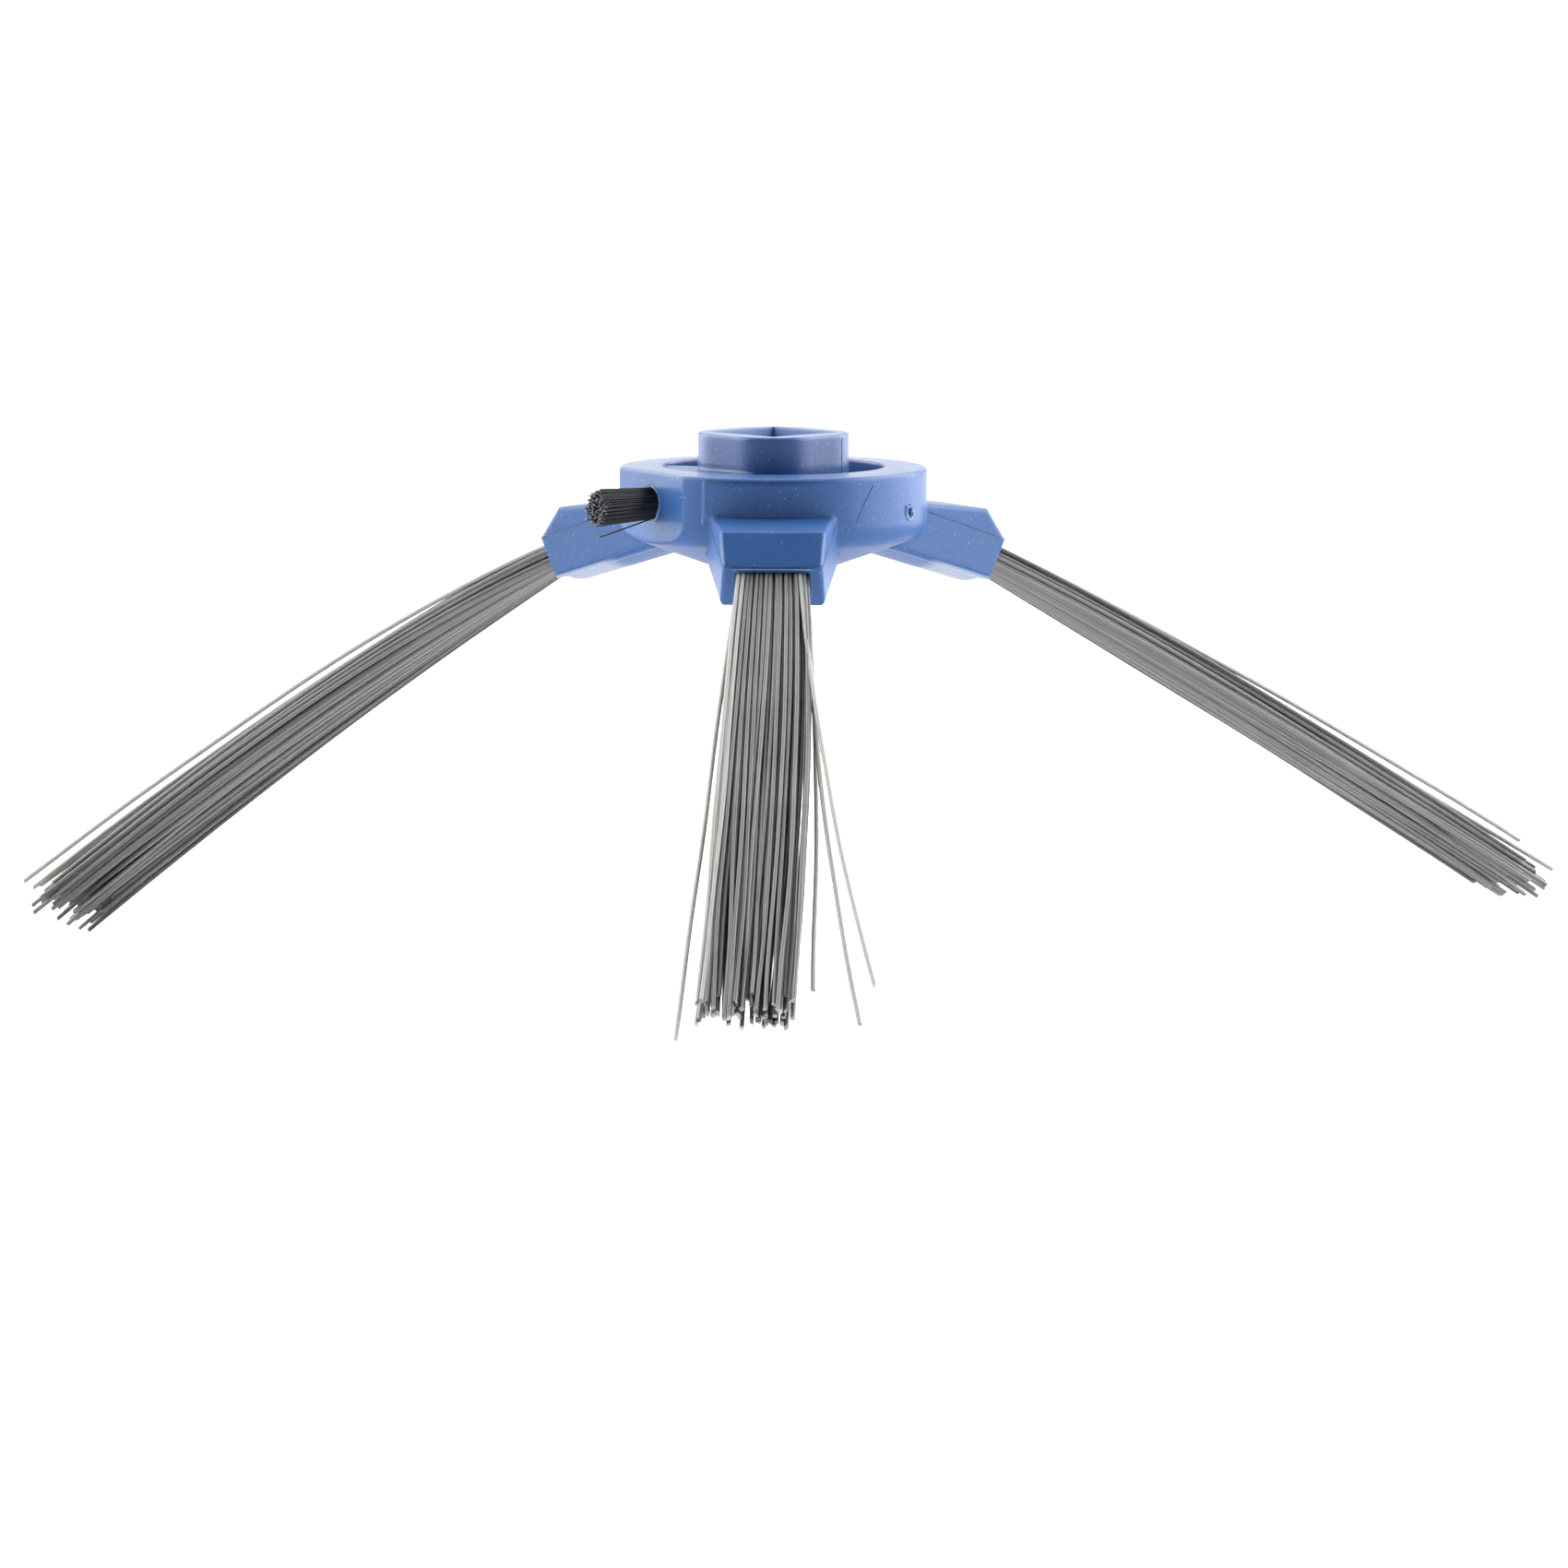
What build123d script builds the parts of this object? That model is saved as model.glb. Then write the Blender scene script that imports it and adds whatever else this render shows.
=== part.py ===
"""Side brush of a robot vacuum: a moulded drive hub, three long flat tufts and one short round tuft.

Millimetres, +Z up along the spin axis. The origin is on the spin axis in the rim plane of the drive
boss, where the vacuum's square shaft enters. The front holder points along -Y.
"""

from build123d import *
from math import ceil, cos, floor, radians, sin, sqrt, tan
import os

# Drive boss and its blind square socket
socket_side = 8.2
socket_depth = 7.0
boss_wall = 2.2
boss_height = 3.1
boss_corner_radius = 4.7
boss_edge_bevel = 0.15
boss_turn = 45.0

# Disc with its moat, sloping rim and conical underside
disc_diameter = 28.3
wall_height = 6.2
ring_width = 3.9
ring_flat_width = 1.7
ring_bevel_drop = 0.1
rim_bevel = 0.2
moat_depth = 4.0
wall_foot_radius = 2.0
cone_depth = 3.4
cone_flat_diameter = 9.0
cone_edge_radius = 1.0

# Raised patch that the front mould slide left on the wall
slide_shift = 0.28
slide_left_angle = 26.6
slide_right_angle = 37.0
slide_margin = 0.5
slide_edge_radius = 0.15

# Gate mark on the wall
gate_angle = 62.0
gate_drop = 3.7
gate_width = 0.6
gate_height = 1.1
gate_depth = 0.5

# Flat on the wall with the hole of the round tuft
flat_angle = 60.0
flat_depth = 1.25
sensor_hole_diameter = 3.1
sensor_hole_drop = 3.0
sensor_hole_depth = 5.5
sensor_cover_recess = 0.25
sensor_cover_angle = 92.0

# Flat wire across the floor of that hole
staple_thickness = 0.25
staple_depth = 1.0
staple_bite = 0.35

# Short black filaments
sensor_filament_diameter = 0.28
sensor_filament_gap = 0.04
sensor_wall_clearance = 0.06
sensor_free_length = 5.8
sensor_ragged_length = 0.35

# Holders
holder_count = 3
holder_reach = 22.3
holder_embed = 5.0
holder_top_drop = 4.4
holder_top_fall = 6.5
holder_root_width = 11.2
holder_end_width = 9.0
holder_bevel_run = 2.1
holder_bevel_fall = 3.0
holder_end_height = 4.1
holder_bottom_fall = 17.0
holder_edge_radius = 0.4
holder_belly = 0.5
holder_belly_inset = 0.4

# Mouth and pocket of a flat tuft, square to the end of the holder
tuft_pitch = 27.4
mouth_lip = 0.5
mouth_width = 6.6
mouth_height = 2.1
mouth_brow_width = 0.35
mouth_brow_height = 0.2
pocket_depth = 5.5

# Long grey filaments
filament_diameter = 0.42
filament_gap = 0.08
free_length = 68.0
ragged_length = 3.0
spread_across = 0.55
spread_through = 0.85
tip_wander = 0.12
knee_share = 0.4

# Set of each flat tuft from use: where its holder points, droop of its tips, sway to one side, and twist
tuft_sets = {
    "tuft_front": {"turn": -90.0, "droop": 3.6, "sway": -2.5, "twist": 0.0},
    "tuft_right": {"turn": 30.0, "droop": 1.4, "sway": 0.0, "twist": 0.0},
    "tuft_left": {"turn": 150.0, "droop": 5.6, "sway": 0.0, "twist": 18.0},
}

# Multiples of this share never repeat, which gives the uneven ends of the filaments
golden_share = (sqrt(5) - 1) / 2
filament_sides = 5

# Levels and radii that follow from the sizes above
disc_radius = disc_diameter / 2
disc_top = -boss_height
wall_foot = disc_top - wall_height
cone_foot = wall_foot - cone_depth
moat_radius = disc_radius - ring_width
moat_floor = disc_top - moat_depth
boss_side = socket_side + 2 * boss_wall
front_turn = tuft_sets["tuft_front"]["turn"]

# Side view of a holder, in distance from the spin axis and height
pitch = radians(tuft_pitch)
crease = Vector(holder_reach, disc_top - holder_top_drop - holder_bevel_fall)
shoulder = crease + Vector(-holder_bevel_run, holder_bevel_fall)
end_slope = Vector(-sin(pitch), -cos(pitch))
toe = crease + end_slope * holder_end_height
holder_root = disc_radius - holder_embed
mouth_centre = crease + end_slope * (mouth_lip + mouth_height / 2)


def heading(left_of_front):
    """Level unit vector, that many degrees left of the front holder as the front view shows it."""
    turn = radians(front_turn - left_of_front)
    return Vector(cos(turn), sin(turn), 0)


def uneven(index):
    """A number from -1 to 1 for this index, spread evenly and without a visible order."""
    return 2 * ((index * golden_share) % 1) - 1


def holder_top(distance):
    """Height of the holder's top at a distance from the spin axis."""
    return shoulder.Y + (shoulder.X - distance) * tan(radians(holder_top_fall))


def holder_bottom(distance):
    """Height of the holder's lower edges at a distance from the spin axis."""
    return toe.Y + (toe.X - distance) * tan(radians(holder_bottom_fall))


def holder_half_width(distance):
    """Half of the holder's width at a distance from the spin axis."""
    root = holder_root_width / 2
    end = holder_end_width / 2
    return root + (end - root) * (distance - disc_radius) / (holder_reach - disc_radius)


# One holder, along +X, with the pocket of its tuft
with BuildPart() as holder:
    with BuildSketch(Plane.XZ) as side_view:
        with BuildLine():
            Polyline(
                (holder_root, holder_bottom(holder_root)),
                (toe.X, toe.Y),
                (crease.X, crease.Y),
                (shoulder.X, shoulder.Y),
                (holder_root, holder_top(holder_root)),
                close=True,
            )
        make_face()
    extrude(amount=holder_root_width, both=True)
    with BuildSketch(Plane.XY.offset(disc_top)):
        with BuildLine():
            Polyline(
                (holder_root, holder_half_width(holder_root)),
                (holder_root, -holder_half_width(holder_root)),
                (holder_reach, -holder_half_width(holder_reach)),
                (holder_reach, holder_half_width(holder_reach)),
                close=True,
            )
        make_face()
    extrude(amount=toe.Y - disc_top, mode=Mode.INTERSECT)
    by_width = holder.faces().sort_by(Axis.Y)
    flank_edges = by_width[0].edges() + by_width[-1].edges()
    fillet([edge for edge in flank_edges if edge.center().X > holder_root], holder_edge_radius)
    # Bellied underside, between two upright sections
    for distance in (holder_root, toe.X - holder_belly_inset):
        half = holder_half_width(distance) - holder_belly_inset
        chord = holder_bottom(distance) + holder_belly_inset
        with BuildSketch(Plane(origin=(distance, 0, chord), x_dir=(0, 1, 0), z_dir=(1, 0, 0))):
            with BuildLine():
                ThreePointArc((-half, 0), (0, -holder_belly - holder_belly_inset), (half, 0))
                Line((half, 0), (-half, 0))
            make_face()
    loft(ruled=True)
    pocket_face = Plane(
        origin=(mouth_centre.X, 0, mouth_centre.Y),
        x_dir=(0, 1, 0),
        z_dir=(cos(pitch), 0, -sin(pitch)),
    )
    with BuildSketch(pocket_face):
        Rectangle(mouth_width + 2 * mouth_brow_width, mouth_height + 2 * mouth_brow_width)
    extrude(amount=mouth_brow_height)
    with BuildSketch(pocket_face.offset(mouth_brow_height)):
        Rectangle(mouth_width, mouth_height)
    extrude(amount=-mouth_brow_height - pocket_depth, mode=Mode.SUBTRACT)


# Patch of the wall inside the front slide, a little off centre, so that one end stands proud
shift_direction = heading(90 - slide_right_angle)
slide_centre = shift_direction * slide_shift
with BuildPart() as slide_patch:
    with BuildSketch(Plane.XY.offset(wall_foot + wall_foot_radius)):
        with Locations((slide_centre.X, slide_centre.Y)):
            Circle(disc_radius)
        left_end = heading(slide_left_angle) * disc_diameter
        right_end = heading(-slide_right_angle) * disc_diameter
        with BuildLine():
            Polyline((0, 0), (left_end.X, left_end.Y), (right_end.X, right_end.Y), close=True)
        make_face(mode=Mode.INTERSECT)
    extrude(amount=wall_height - wall_foot_radius - slide_margin)
    proud_corner = heading(slide_left_angle) * (disc_radius + slide_shift)
    upright_edges = slide_patch.edges().filter_by(Axis.Z)
    fillet(upright_edges.sort_by_distance(proud_corner)[0], slide_edge_radius)


# Frame of the round tuft's hole: outward from the flat, with X level along the wall
flat_heading = heading(flat_angle)
flat_distance = disc_radius - flat_depth
flat_width = 2 * sqrt(disc_radius**2 - flat_distance**2)
hole_height = disc_top - sensor_hole_drop
hole_mouth = flat_heading * flat_distance + Vector(0, 0, hole_height)
hole_plane = Plane(origin=hole_mouth, x_dir=flat_heading.cross(Vector(0, 0, 1)), z_dir=flat_heading)
hole_floor = hole_plane.offset(-sensor_hole_depth)
staple_length = sensor_hole_diameter + 2 * staple_bite


# Hub
with BuildPart() as hub:
    with BuildSketch(Plane.XZ) as half_section:
        with BuildLine():
            Polyline(
                (0, disc_top),
                (moat_radius + ring_flat_width, disc_top),
                (disc_radius, disc_top - ring_bevel_drop),
                (disc_radius, wall_foot),
                (cone_flat_diameter / 2, cone_foot),
                (0, cone_foot),
                close=True,
            )
        make_face()
        corners = half_section.vertices()
        rim = corners.sort_by_distance((disc_radius, disc_top - ring_bevel_drop))[0]
        foot = corners.sort_by_distance((disc_radius, wall_foot))[0]
        tip = corners.sort_by_distance((cone_flat_diameter / 2, cone_foot))[0]
        chamfer(rim, rim_bevel)
        fillet(foot, wall_foot_radius)
        fillet(tip, cone_edge_radius)
    revolve(axis=Axis.Z)
    add(slide_patch.part)
    with PolarLocations(0, holder_count, start_angle=front_turn):
        add(holder.part)

    # Moat, left almost full over the round tuft's hole
    with BuildSketch(Plane.XY.offset(disc_top)):
        Circle(moat_radius)
    extrude(amount=-moat_depth, mode=Mode.SUBTRACT)
    with BuildSketch(Plane.XY.offset(moat_floor)):
        with BuildLine():
            cover_start = front_turn - flat_angle - sensor_cover_angle / 2
            cover_arc = CenterArc((0, 0), moat_radius + ring_width / 2, cover_start, sensor_cover_angle)
            Line((0, 0), cover_arc @ 0)
            Line((0, 0), cover_arc @ 1)
        make_face()
    extrude(amount=moat_depth - sensor_cover_recess)

    # Square boss with large corners, and its socket
    with BuildSketch(Plane.XY.offset(moat_floor)):
        RectangleRounded(boss_side, boss_side, boss_corner_radius, rotation=boss_turn)
    extrude(amount=boss_height + moat_depth)
    chamfer(hub.faces().sort_by(Axis.Z)[-1].edges(), boss_edge_bevel)
    with BuildSketch(Plane.XY):
        Rectangle(socket_side, socket_side, rotation=boss_turn)
    extrude(amount=-socket_depth, mode=Mode.SUBTRACT)

    # Flat with the hole of the round tuft, and the slot of its staple
    with BuildSketch(hole_plane):
        Rectangle(flat_width, 4 * wall_height)
    extrude(amount=flat_depth, mode=Mode.SUBTRACT)
    with BuildSketch(hole_plane):
        Circle(sensor_hole_diameter / 2)
    extrude(amount=-sensor_hole_depth, mode=Mode.SUBTRACT)
    with BuildSketch(hole_floor):
        Rectangle(staple_length, staple_thickness)
    extrude(amount=staple_depth, mode=Mode.SUBTRACT)

    # Gate mark
    gate_heading = heading(-gate_angle)
    gate_centre = gate_heading * disc_radius + Vector(0, 0, disc_top - gate_drop)
    with BuildSketch(Plane(origin=gate_centre, x_dir=gate_heading.cross(Vector(0, 0, 1)), z_dir=gate_heading)):
        Ellipse(gate_width / 2, gate_height / 2)
    extrude(amount=-gate_depth, both=True, mode=Mode.SUBTRACT)
hub.part.label = "hub"


# Staple of the round tuft
with BuildPart() as tuft_staple:
    with BuildSketch(hole_floor):
        Rectangle(staple_length, staple_thickness)
    extrude(amount=staple_depth)
tuft_staple.part.label = "tuft_staple"


def strand(planes, diameter):
    """One filament: a run of straight prisms through parallel sections."""
    with BuildPart() as filament:
        for plane in planes:
            with BuildSketch(plane):
                RegularPolygon(diameter / 2, filament_sides)
        loft(ruled=True)
    return filament.part


def sensor_strands():
    """Filaments of the round tuft, close packed, with the middle row standing on the staple."""
    spacing = sensor_filament_diameter + sensor_filament_gap
    row_step = spacing * sqrt(3) / 2
    room = (sensor_hole_diameter - sensor_filament_diameter) / 2 - sensor_wall_clearance
    rows = ceil(room / row_step)
    strands = []
    for row in range(-rows, rows + 1):
        height = row * row_step
        stagger = spacing / 2 * (row % 2)
        for column in range(-rows, rows + 1):
            across = column * spacing + stagger
            if across**2 + height**2 > room**2:
                continue
            on_staple = abs(height) < (staple_thickness + sensor_filament_diameter) / 2
            foot_level = staple_depth if on_staple else 0
            ragged = sensor_ragged_length * uneven(len(strands))
            spot = hole_floor * Pos(across, height, 0)
            foot_plane = Plane(spot).offset(foot_level)
            tip_plane = Plane(spot).offset(sensor_hole_depth + sensor_free_length + ragged)
            strands.append(strand((foot_plane, tip_plane), sensor_filament_diameter))
    return strands


def flat_strands(turn, droop, sway, twist):
    """Filaments of a flat tuft: straight in the pocket, then fanning out, twisting, drooping and swaying."""
    spacing = filament_diameter + filament_gap
    columns = floor(mouth_width / spacing)
    rows = floor(mouth_height / spacing)
    turned = Plane(Location((0, 0, 0), (0, 0, turn)) * pocket_face.location)
    strands = []
    for row in range(rows):
        for column in range(columns):
            index = row * columns + column
            across = (column - (columns - 1) / 2) * spacing
            through = (row - (rows - 1) / 2) * spacing
            length = free_length + ragged_length * uneven(index)
            planes = []
            for reach in (-pocket_depth, 0, knee_share * free_length, length):
                out = max(reach, 0) / free_length
                fan = sqrt(out)
                wide = across * (1 + spread_across * fan) + tip_wander * out * uneven(3 * index)
                thick = through * (1 + spread_through * fan) + tip_wander * out * uneven(5 * index)
                roll = radians(twist) * fan
                x = wide * cos(roll) - thick * sin(roll) + sway * out**2
                y = thick * cos(roll) + wide * sin(roll) - droop * out**2
                planes.append(Plane(turned.location * Pos(x, y, reach)))
            strands.append(strand(planes, filament_diameter))
    return strands


# Tufts
tufts = {"sensor_tuft": sensor_strands()}
for name, settings in tuft_sets.items():
    tufts[name] = flat_strands(**settings)

os.makedirs("parts", exist_ok=True)
export_step(hub.part, "parts/hub.step")
export_step(tuft_staple.part, "parts/tuft_staple.step")
for name, strands in tufts.items():
    tuft = Compound(strands)
    tuft.label = name
    export_step(tuft, f"parts/{name}.step")
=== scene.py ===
from math import cos, pi, radians, sin, tan

import bpy
import numpy as np
from bpy.props import FloatProperty, FloatVectorProperty, IntProperty, PointerProperty
from mathutils import Euler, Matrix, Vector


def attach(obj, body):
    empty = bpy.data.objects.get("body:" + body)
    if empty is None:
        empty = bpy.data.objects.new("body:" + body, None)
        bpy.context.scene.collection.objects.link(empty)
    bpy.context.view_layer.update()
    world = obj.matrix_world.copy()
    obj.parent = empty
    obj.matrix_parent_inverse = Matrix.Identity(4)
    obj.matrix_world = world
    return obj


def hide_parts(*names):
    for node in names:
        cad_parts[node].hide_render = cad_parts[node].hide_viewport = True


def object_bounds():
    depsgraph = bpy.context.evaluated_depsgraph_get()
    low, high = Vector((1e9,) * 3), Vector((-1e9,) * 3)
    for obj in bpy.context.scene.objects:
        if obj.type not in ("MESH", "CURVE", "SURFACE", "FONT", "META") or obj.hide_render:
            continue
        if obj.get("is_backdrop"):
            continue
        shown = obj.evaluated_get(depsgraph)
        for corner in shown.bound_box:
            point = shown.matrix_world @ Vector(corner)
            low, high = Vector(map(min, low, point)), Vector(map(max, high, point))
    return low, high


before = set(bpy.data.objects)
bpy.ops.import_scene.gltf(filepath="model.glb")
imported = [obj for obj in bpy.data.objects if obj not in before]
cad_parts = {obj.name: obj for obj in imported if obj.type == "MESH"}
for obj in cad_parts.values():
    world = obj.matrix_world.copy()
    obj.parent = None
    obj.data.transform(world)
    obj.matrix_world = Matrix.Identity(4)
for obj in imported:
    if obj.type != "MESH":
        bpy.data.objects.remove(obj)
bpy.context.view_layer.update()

bl_info = {
    "name": "Robot vacuum side brush",
    "version": (1, 0, 0),
    "blender": (4, 5, 0),
    "location": "3D View > Sidebar > Side brush",
    "description": "Dresses the moulded hub, the grey tufts and the black tuft of a side brush",
    "category": "Add Mesh",
}

# Sizes of the brush are in millimetres and become metres where a mesh is filled. The stage is in metres.
MM = 0.001
RISE = np.array([0.0, 0.0, 1.0])

# The moulding, in the frame of the part: heights, distances from the spin axis, and turns about it.
DISC_TOP = -3.1
WALL_RADIUS = 14.15
SOCKET_REACH = 6.0
HOLDER_TURNS = (-90.0, 30.0, 150.0)
HOLDER_START = 15.0
MOUTH_DISTANCE = 21.587
MOUTH_HEIGHT = -11.876
POCKET_PITCH = radians(27.4)
HOLE_TURN = radians(-150.0)
HOLE_DISTANCE = 12.9
HOLE_HEIGHT = -6.1
GATE_TURN = radians(-28.0)
GATE_HEIGHT = -6.8
SLIDE_TURN = radians(-116.6)

# Set of each flat tuft from use. turn is where its holder points and twist how far the tuft has turned
# about its own axis, both in degrees, and seed is added to the seed of all tufts. Each stray strand gives
# its root's share across and through the mouth, its drift across and through at the tip, its change of
# length, and the power with which its drift grows.
SWEEPING_SETS = {
    "tuft_front": {
        "turn": HOLDER_TURNS[0], "seed": 0, "fan": 0.36, "gather": 0.1, "twist": 0.0, "bow": 0.0,
        "droop": 2.0, "sway": -2.0, "paleness": 0.2, "longer": 0.0,
        "strays": [
            (-1.0, 0.0, -2.1, 0.0, 3.0, 1.15), (0.97, 0.5, 6.0, 0.4, 1.9, 1.8),
            (0.84, 1.0, 8.3, 1.2, -1.8, 1.7), (1.0, -0.5, 1.9, 0.6, -4.3, 1.4),
            (-1.0, 1.0, -0.75, 0.0, -1.0, 3.5), (-1.0, -1.0, -0.8, 0.1, -0.4, 3.5),
            (-0.9, 0.5, -0.7, -0.1, -1.6, 3.5), (-0.9, -0.5, -0.85, 0.1, -0.8, 3.5),
            (-0.86, 1.0, -0.75, 0.0, -1.2, 3.5), (-0.86, -1.0, -0.8, 0.0, -1.8, 3.5),
        ],
    },
    "tuft_right": {
        "turn": HOLDER_TURNS[1], "seed": 5, "fan": 0.3, "gather": 0.0, "twist": -11.0, "bow": 0.8,
        "droop": 2.3, "sway": 0.0, "paleness": 0.36, "longer": 0.5,
        "strays": [(-0.9, 1.0, -0.3, 1.0, -3.0, 1.05), (-0.4, 0.9, -0.8, 0.6, 2.2, 1.05)],
    },
    "tuft_left": {
        "turn": HOLDER_TURNS[2], "seed": 2, "fan": 0.25, "gather": 0.0, "twist": 22.0, "bow": 0.3,
        "droop": 7.1, "sway": 0.0, "paleness": 0.42, "longer": -2.2,
        "strays": [
            (0.9, 1.0, 0.5, 1.2, -0.9, 1.05), (0.6, 1.0, 0.7, 1.0, -0.6, 1.05),
            (0.3, 1.0, 0.9, 1.1, -1.2, 1.05), (-1.0, -1.0, 0.5, 0.4, -4.0, 1.05),
        ],
    },
}


def linear(hex_colour):
    """Turns an sRGB hex value such as #3f60a0 into linear red, green and blue."""
    shares = np.array([int(hex_colour[i:i + 2], 16) for i in (1, 3, 5)]) / 255
    curve = ((shares + 0.055) / 1.055) ** 2.4
    return tuple(np.where(shares <= 0.04045, shares / 12.92, curve).tolist())


def full(colour):
    """Red, green and blue with full cover, for sockets that take four values."""
    return tuple(colour) + (1.0,)


class HubSettings(bpy.types.PropertyGroup):
    """The blue moulding."""

    blue: FloatVectorProperty(
        name="Blue", description="Colour of the moulded plastic", default=linear("#2d568f"),
        size=3, min=0, max=1, subtype="COLOR",
    )
    edge_softness: FloatProperty(
        name="Edge softness", description="Radius that the mould leaves on its edges, in millimetres",
        default=0.45, min=0, max=1,
    )
    grain: FloatProperty(
        name="Grain", description="Size of the fine spark texture of the mould, in millimetres",
        default=0.3, min=0.02, max=2,
    )
    glow_depth: FloatProperty(
        name="Glow depth", description="How far light spreads inside the plastic, in millimetres",
        default=0.8, min=0, max=5,
    )
    seed: IntProperty(name="Seed", description="Start of the seeded burrs", default=3, min=0)


class SweepingTuftSettings(bpy.types.PropertyGroup):
    """The three long grey tufts."""

    grey: FloatVectorProperty(
        name="Grey", description="Colour of the darkest strands", default=linear("#373a3e"),
        size=3, min=0, max=1, subtype="COLOR",
    )
    pale: FloatVectorProperty(
        name="Pale grey", description="Colour of the palest strands", default=linear("#bebdb7"),
        size=3, min=0, max=1, subtype="COLOR",
    )
    columns: IntProperty(
        name="Columns", description="Filaments across a mouth", default=15, min=2, max=40,
    )
    rows: IntProperty(
        name="Rows", description="Filaments through a mouth", default=5, min=2, max=12,
    )
    filament: FloatProperty(
        name="Filament", description="Diameter of one filament, in millimetres",
        default=0.42, min=0.05, max=2,
    )
    free_length: FloatProperty(
        name="Free length", description="From the mouth to a tip, in millimetres",
        default=68.0, min=5, max=200,
    )
    ragged: FloatProperty(
        name="Ragged", description="How far the tips differ in length, in millimetres",
        default=2.4, min=0, max=20,
    )
    mouth_width: FloatProperty(
        name="Mouth width", description="Width of the pocket, in millimetres",
        default=6.6, min=1, max=30,
    )
    mouth_height: FloatProperty(
        name="Mouth height", description="Height of the pocket, in millimetres",
        default=2.1, min=0.5, max=15,
    )
    pocket_depth: FloatProperty(
        name="Pocket depth", description="Depth of the pocket, in millimetres",
        default=5.5, min=1, max=20,
    )
    seed: IntProperty(name="Seed", description="Start of the seeded spread", default=7, min=0)


class SensorTuftSettings(bpy.types.PropertyGroup):
    """The short black tuft."""

    black: FloatVectorProperty(
        name="Black", description="Colour of the darkest strands", default=linear("#17191d"),
        size=3, min=0, max=1, subtype="COLOR",
    )
    soot: FloatVectorProperty(
        name="Soot", description="Colour of the palest strands", default=linear("#2c3037"),
        size=3, min=0, max=1, subtype="COLOR",
    )
    count: IntProperty(
        name="Filaments", description="Number of filaments", default=400, min=1, max=1000,
    )
    filament: FloatProperty(
        name="Filament", description="Diameter of one filament, in millimetres",
        default=0.15, min=0.02, max=1,
    )
    bundle: FloatProperty(
        name="Bundle", description="Diameter of the bundle, in millimetres",
        default=3.0, min=0.5, max=10,
    )
    free_length: FloatProperty(
        name="Free length", description="From the wall to the cut end, in millimetres",
        default=5.8, min=1, max=30,
    )
    hole_depth: FloatProperty(
        name="Hole depth", description="Depth of the hole, in millimetres",
        default=5.5, min=1, max=20,
    )
    seed: IntProperty(name="Seed", description="Start of the seeded spread", default=11, min=0)


class StageSettings(bpy.types.PropertyGroup):
    """Floor, light and camera."""

    distance: FloatProperty(
        name="Distance", description="Level distance of the camera from the spin axis",
        default=1.5, min=0.2, max=10, unit="LENGTH",
    )
    elevation: FloatProperty(
        name="Elevation", description="Angle of the camera above the top of the disc",
        default=radians(4.7), min=0, max=pi / 2, subtype="ANGLE",
    )
    side_light: FloatProperty(
        name="Side light", description="Brightness of the two side panels",
        default=3.6, min=0, max=50,
    )
    top_light: FloatProperty(
        name="Top light", description="Brightness of the panel overhead",
        default=1.4, min=0, max=50,
    )
    room_light: FloatProperty(
        name="Room light", description="Brightness of the room behind and above",
        default=1.25, min=0, max=5,
    )
    front_light: FloatProperty(
        name="Front light", description="Brightness of the room on the camera's side",
        default=0.06, min=0, max=5,
    )
    table_light: FloatProperty(
        name="Table light", description="Brightness that shines up through the floor",
        default=0.36, min=0, max=5,
    )
    floor_colour: FloatVectorProperty(
        name="Floor", description="Colour of the pale floor", default=linear("#eeeeee"),
        size=3, min=0, max=1, subtype="COLOR",
    )


def add(tree, kind, inputs=None, links=None, **settings):
    """Adds one node, with its settings, its input values and the sockets that feed it."""
    node = tree.nodes.new(kind)
    for name, value in settings.items():
        setattr(node, name, value)
    for name, value in (inputs or {}).items():
        node.inputs[name].default_value = value
    for name, source in (links or {}).items():
        tree.links.new(source, node.inputs[name])
    return node


def new_material(name):
    """An empty node material and its tree."""
    material = bpy.data.materials.new(name)
    material.use_nodes = True
    material.node_tree.nodes.clear()
    return material, material.node_tree


def per_mm(size):
    """Scale of a pattern on Object coordinates whose features are that many millimetres wide."""
    return 1.0 / (size * MM)


def noise(tree, place, size, detail, roughness=0.5):
    """A cloudy pattern with features that many millimetres wide."""
    values = {"Scale": per_mm(size), "Detail": detail, "Roughness": roughness}
    return add(tree, "ShaderNodeTexNoise", values, {"Vector": place}).outputs["Fac"]


def ramp(tree, value, start, end, low, high, **settings):
    """A value that goes from low at start to high at end and stays level beyond both."""
    limits = {"From Min": start, "From Max": end, "To Min": low, "To Max": high}
    return add(tree, "ShaderNodeMapRange", limits, {"Value": value}, **settings).outputs["Result"]


def joined(tree, operation, first, second):
    """Two values joined by one operation."""
    return add(tree, "ShaderNodeMath", None, {0: first, 1: second}, operation=operation).outputs["Value"]


def vector(tree, operation, *sources):
    """A vector operation on linked sources, as a node."""
    return add(tree, "ShaderNodeVectorMath", None, dict(enumerate(sources)), operation=operation)


def part_of(tree, axis, source):
    """One of the three parts X, Y and Z of a vector."""
    return add(tree, "ShaderNodeSeparateXYZ", None, {"Vector": source}).outputs[axis]


def between(tree, factor, first, second):
    """A colour between two fixed colours."""
    ends = {"A": full(first), "B": full(second)}
    return add(tree, "ShaderNodeMix", ends, {"Factor": factor}, data_type="RGBA").outputs[2]


def tinted(tree, factor, base, colour):
    """A base colour that goes over to a fixed colour as the factor grows."""
    links = {"Factor": factor, "A": base}
    return add(tree, "ShaderNodeMix", {"B": full(colour)}, links, data_type="RGBA").outputs[2]


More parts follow.
